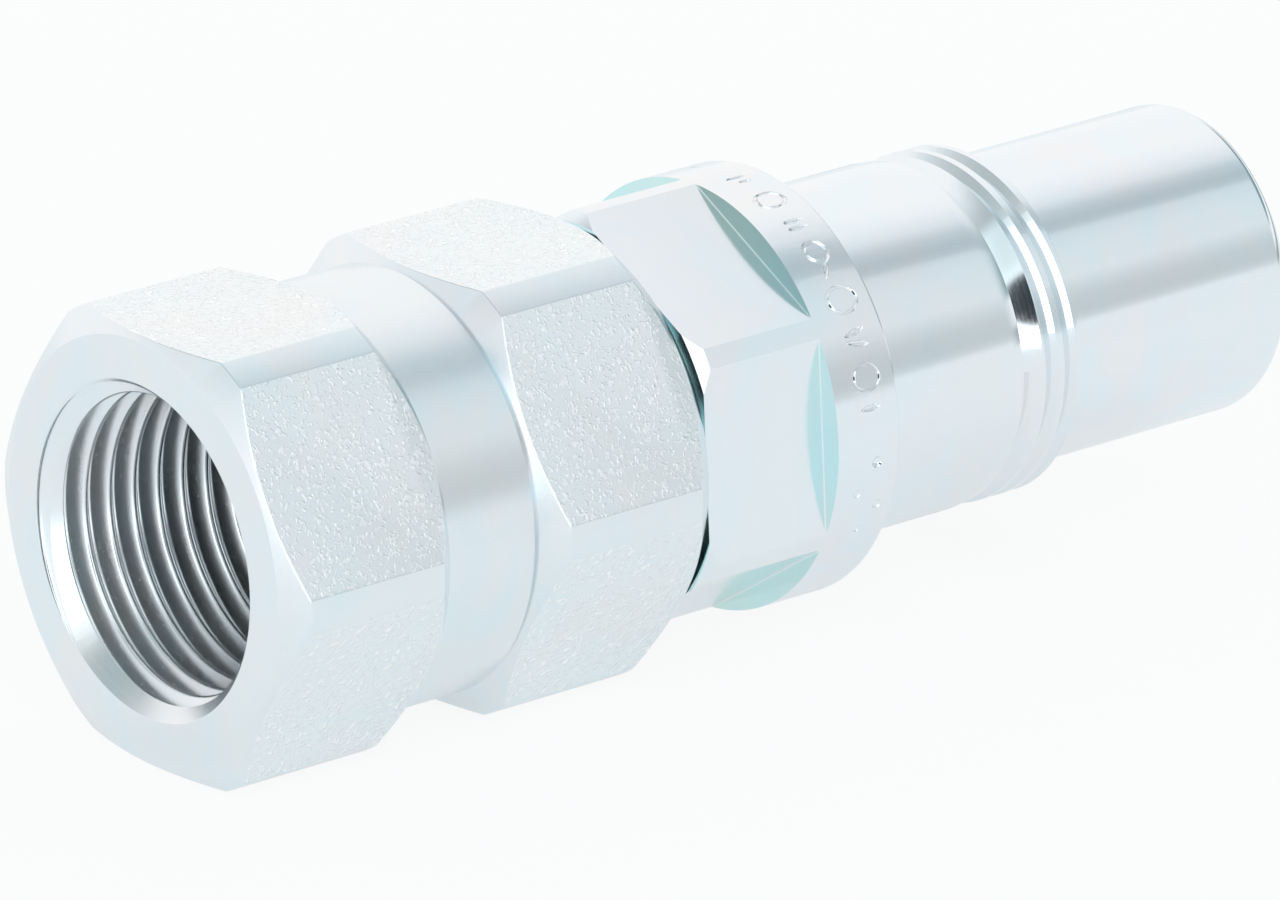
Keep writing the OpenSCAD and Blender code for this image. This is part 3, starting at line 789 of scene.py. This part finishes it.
class COUPLING_OT_stage(bpy.types.Operator):
    """Set up the pale floor, the soft studio light and the camera"""

    bl_idname = "coupling.stage"
    bl_label = "Floor, light and camera"

    def execute(self, context):
        self.floor()
        self.light(context)
        self.camera(context)
        return {"FINISHED"}

    def floor(self):
        """A pale floor under the part, whose shadow stays soft."""
        bpy.ops.object.select_all(action="DESELECT")
        bpy.ops.mesh.primitive_plane_add(size=1, location=(0.18, 0.05, -0.02 * MM))
        floor = bpy.context.object
        floor.name = "floor"
        floor.scale = (0.6, 0.7, 1)
        bpy.ops.object.transform_apply(location=True, rotation=True, scale=True)
        material, f = finish("floor")
        rays = f.node("ShaderNodeLightPath").outputs
        camera, glossy = Value(f, rays["Is Camera Ray"]), Value(f, rays["Is Glossy Ray"])
        paper = f.node("ShaderNodeBsdfDiffuse", {}, {"Color": (0.93, 0.94, 0.95)})
        shade = f.blend(glossy, (1, 1, 1), (0.93, 0.98, 1.0))
        white = f.node("ShaderNodeEmission", {}, {"Color": shade, "Strength": 1.0})
        mixed = f.node("ShaderNodeMixShader", {}, {0: camera * 0.88 + glossy * 0.6, 1: paper.outputs[0],
                                                   2: white.outputs[0]})
        f.node("ShaderNodeOutputMaterial", {}, {"Surface": mixed.outputs[0]})
        floor.data.materials.append(material)

    def light(self, context):
        """A bright soft room with darker bands, and a stronger card with a dark opening round the lens."""
        world = bpy.data.worlds.new("studio")
        world.use_nodes = True
        context.scene.world = world
        f = Finish(world.node_tree)
        x, y, z = f.split(f.node("ShaderNodeTexCoord").outputs["Generated"])
        turned = f.math("ARCTAN2", z, y) / math.tau + 0.5

        def at(degrees):
            return degrees / 360 + 0.5

        room = f.node("ShaderNodeValToRGB", {"stops": [
            (at(-180), (0.87, 0.92, 0.95)), (at(-4), (0.95, 0.97, 0.98)), (at(0), (1.0, 1.0, 1.0)),
            (at(62), (1.0, 1.0, 1.0)), (at(76), (0.93, 0.955, 0.975)), (at(87), (0.80, 0.85, 0.885)),
            (at(95), (0.60, 0.66, 0.70)), (at(104), (0.50, 0.565, 0.605)), (at(110), (0.53, 0.60, 0.64)),
            (at(113), (0.71, 0.78, 0.82)), (at(125), (0.76, 0.83, 0.865)), (at(146), (0.80, 0.85, 0.875)),
            (at(154), (0.69, 0.745, 0.77)), (at(162), (0.61, 0.66, 0.68)), (at(172), (0.59, 0.645, 0.66)),
            (at(177), (0.66, 0.72, 0.74)), (at(180), (0.87, 0.92, 0.95))]}, {0: turned}).outputs[0]
        height = z * 0.5 + 0.5
        nose_end = f.node("ShaderNodeValToRGB", {"stops": [
            (0.40, (0.87, 0.90, 0.92)), (0.43, (0.36, 0.39, 0.41)), (0.54, (0.36, 0.39, 0.41)),
            (0.56, (1.0, 1.0, 1.0)), (0.65, (1.0, 1.0, 1.0)), (0.675, (0.16, 0.27, 0.29)),
            (0.76, (0.24, 0.36, 0.38)), (0.86, (0.7, 0.73, 0.75))]}, {0: height}).outputs[0]
        port_end = f.node("ShaderNodeValToRGB", {"stops": [
            (0.50, (0.90, 0.93, 0.95)), (0.52, (0.98, 0.99, 1.0)), (0.62, (0.98, 0.99, 1.0)),
            (0.69, (0.84, 0.88, 0.91)), (0.76, (0.68, 0.73, 0.76)), (0.84, (0.42, 0.48, 0.49)),
            (0.92, (0.40, 0.46, 0.47)), (1.0, (0.62, 0.65, 0.67))]}, {0: height}).outputs[0]
        seen = f.blend(f.step(x, 0.72, 0.82), room, nose_end)
        seen = f.blend(f.step(x * -1, 0.25, 0.45), seen, port_end)
        # The card stays where it is when the part is seen from another side
        front = self.forward() * -1
        facing = Value(f, f.node("ShaderNodeVectorMath", {"operation": "DOT_PRODUCT"},
                                 {0: f.join(x, y, z), 1: tuple(front)}).outputs["Value"])
        card = f.step(facing, math.cos(math.radians(50)), math.cos(math.radians(40)))
        opening = f.step(facing, math.cos(math.radians(16)), math.cos(math.radians(12.5)))
        seen = f.blend(opening, seen, (0.02, 0.025, 0.03))
        camera = Value(f, f.node("ShaderNodeLightPath").outputs["Is Camera Ray"])
        background = f.node("ShaderNodeBackground", {}, {"Color": f.blend(camera, seen, (1, 1, 1)),
                                                         "Strength": (1 - camera) * card * 0.9 + 1})
        f.node("ShaderNodeOutputWorld", {}, {"Surface": background.outputs[0]})
        context.scene.view_settings.view_transform = "Standard"

    def forward(self):
        """The fixed direction in which the lens looks."""
        return Vector((0.5882, 0.7275, -0.3532))

    def camera(self, context):
        """A long lens, low over the port end."""
        lens = bpy.data.cameras.new("camera")
        lens.lens = 387
        lens.sensor_width = 36
        lens.sensor_fit = "HORIZONTAL"
        camera = bpy.data.objects.new("camera", lens)
        camera.location = (-0.493775, -0.6070, 0.3057)
        camera.rotation_euler = (math.radians(90 - 20.69), 0, math.radians(-38.95))
        context.scene.collection.objects.link(camera)
        context.scene.camera = camera


PIECES = (COUPLING_OT_port_body, COUPLING_OT_nipple, COUPLING_OT_valve_spring, COUPLING_OT_inner_finishes,
          COUPLING_OT_stage)


class COUPLING_PT_panel(bpy.types.Panel):
    """Lists the pieces of the coupling"""

    bl_label = "Quick coupling"
    bl_idname = "COUPLING_PT_panel"
    bl_space_type = "VIEW_3D"
    bl_region_type = "UI"
    bl_category = "Coupling"

    def draw(self, context):
        for piece in PIECES:
            self.layout.operator(piece.bl_idname)
        for group in (context.scene.coupling_sizes, context.scene.coupling_colours):
            column = self.layout.column(align=True)
            for name in group.__annotations__:
                column.prop(group, name)


CLASSES = (CouplingSizes, CouplingColours, *PIECES, COUPLING_PT_panel)


def register():
    for item in CLASSES:
        bpy.utils.register_class(item)
    bpy.types.Scene.coupling_sizes = PointerProperty(type=CouplingSizes)
    bpy.types.Scene.coupling_colours = PointerProperty(type=CouplingColours)


def unregister():
    del bpy.types.Scene.coupling_sizes
    del bpy.types.Scene.coupling_colours
    for item in reversed(CLASSES):
        bpy.utils.unregister_class(item)


def main():
    register()
    bpy.ops.coupling.stage()
    bpy.ops.coupling.inner_finishes()
    bpy.ops.coupling.port_body()
    bpy.ops.coupling.nipple()
    bpy.ops.coupling.valve_spring()


if __name__ == "__main__":
    main()
